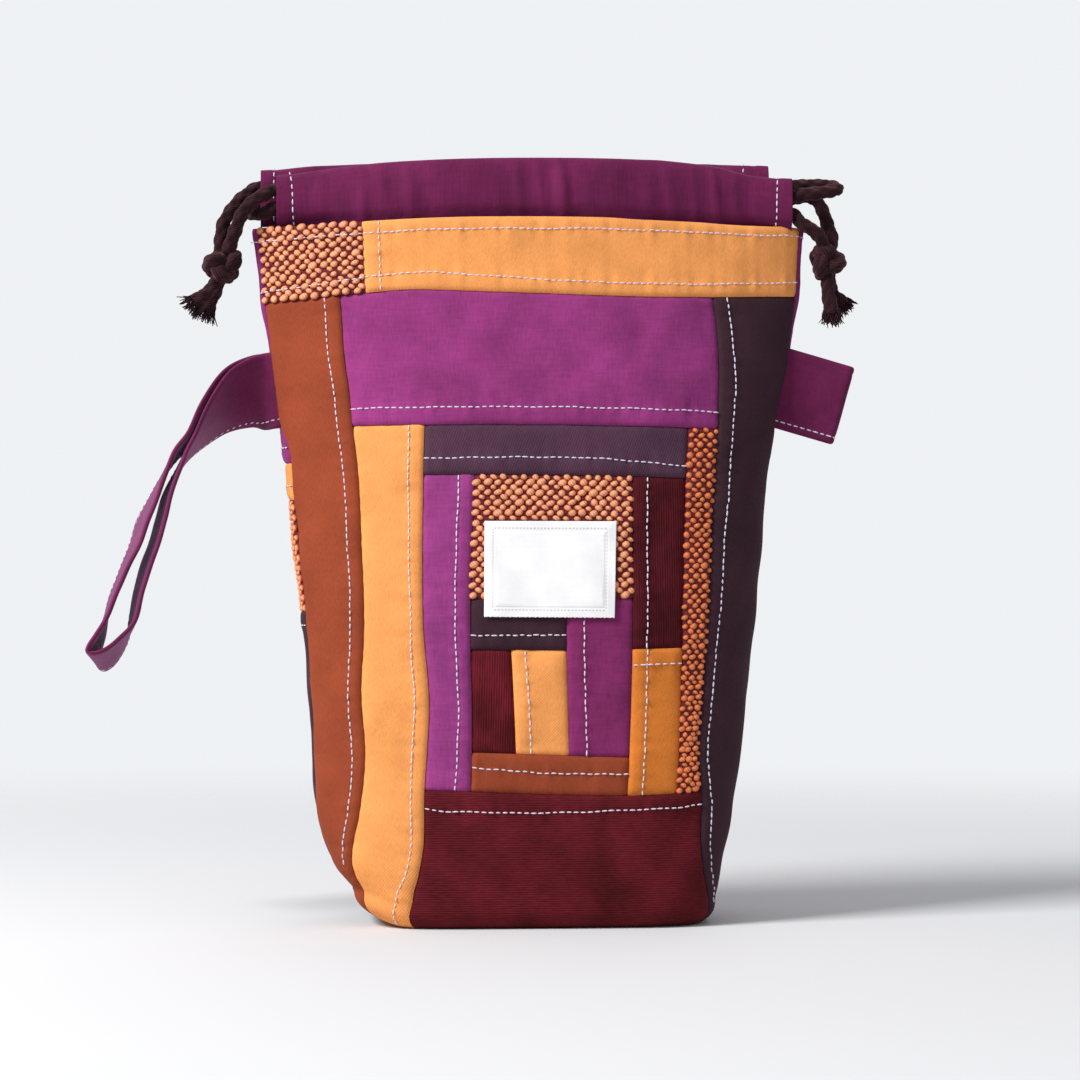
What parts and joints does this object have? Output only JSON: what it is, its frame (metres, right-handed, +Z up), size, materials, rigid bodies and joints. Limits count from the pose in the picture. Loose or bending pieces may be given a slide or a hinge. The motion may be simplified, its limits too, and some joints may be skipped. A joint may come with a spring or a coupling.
{
  "type": "drawstring project bag",
  "caption": "Patchwork cloth project bag with a boxed base, a drawstring mouth in two casings, a wrist loop and a short side loop.",
  "frame": {"origin": "on the ground under the middle of the base, on the underside of the front panel's base flap", "axes": "+Z up, the front with the label faces -Y, +X is to the right of someone who looks at the front"},
  "size_m": [0.292, 0.0846, 0.2856],
  "materials": {
    "violet_poplin": "plain-woven violet cotton, softly creased",
    "rust_twill": "rust brown cotton twill",
    "gold_twill": "yellow-orange cotton twill with fine diagonal ribs",
    "plum_twill": "very dark plum cotton twill",
    "wine_corduroy": "dark wine-red needlecord",
    "orange_basket_weave": "thick orange basket weave over a dark ground",
    "lining_poplin": "plain-woven violet cotton lining",
    "woven_label": "plain white woven label",
    "cotton_cord": "three-strand dark maroon cotton cord"
  },
  "bodies": {
    "root": {"band_weave_block": "orange_basket_weave", "band_gold": "gold_twill", "rust_side_strip": "rust_twill", "violet_upper_panel": "violet_poplin", "plum_side_strip": "plum_twill", "gold_strip": "gold_twill", "plum_bar": "plum_twill", "violet_strip": "violet_poplin", "weave_block": "orange_basket_weave", "wine_strip": "wine_corduroy", "gold_short_strip": "gold_twill", "weave_strip": "orange_basket_weave", "plum_small_bar": "plum_twill", "wine_patch": "wine_corduroy", "gold_patch": "gold_twill", "violet_patch": "violet_poplin", "rust_bar": "rust_twill", "wine_base": "wine_corduroy", "back_violet_panel": "violet_poplin", "back_gold_strip": "gold_twill", "back_weave_strip": "orange_basket_weave", "back_plum_base": "plum_twill", "back_violet_side": "violet_poplin", "casing_front": "violet_poplin", "casing_back": "violet_poplin", "wrist_loop": "violet_poplin", "short_loop": "violet_poplin", "lining_front_left": "lining_poplin", "lining_front_middle": "lining_poplin", "lining_front_right": "lining_poplin", "lining_back_left": "lining_poplin", "lining_back_middle": "lining_poplin", "lining_back_right": "lining_poplin", "label": "woven_label", "drawstring_left": "cotton_cord", "drawstring_right": "cotton_cord", "knot_left": "cotton_cord", "knot_right": "cotton_cord", "frayed_end_left_front": "cotton_cord", "frayed_end_left_back": "cotton_cord", "frayed_end_right_front": "cotton_cord", "frayed_end_right_back": "cotton_cord"}
  },
  "joints": []
}
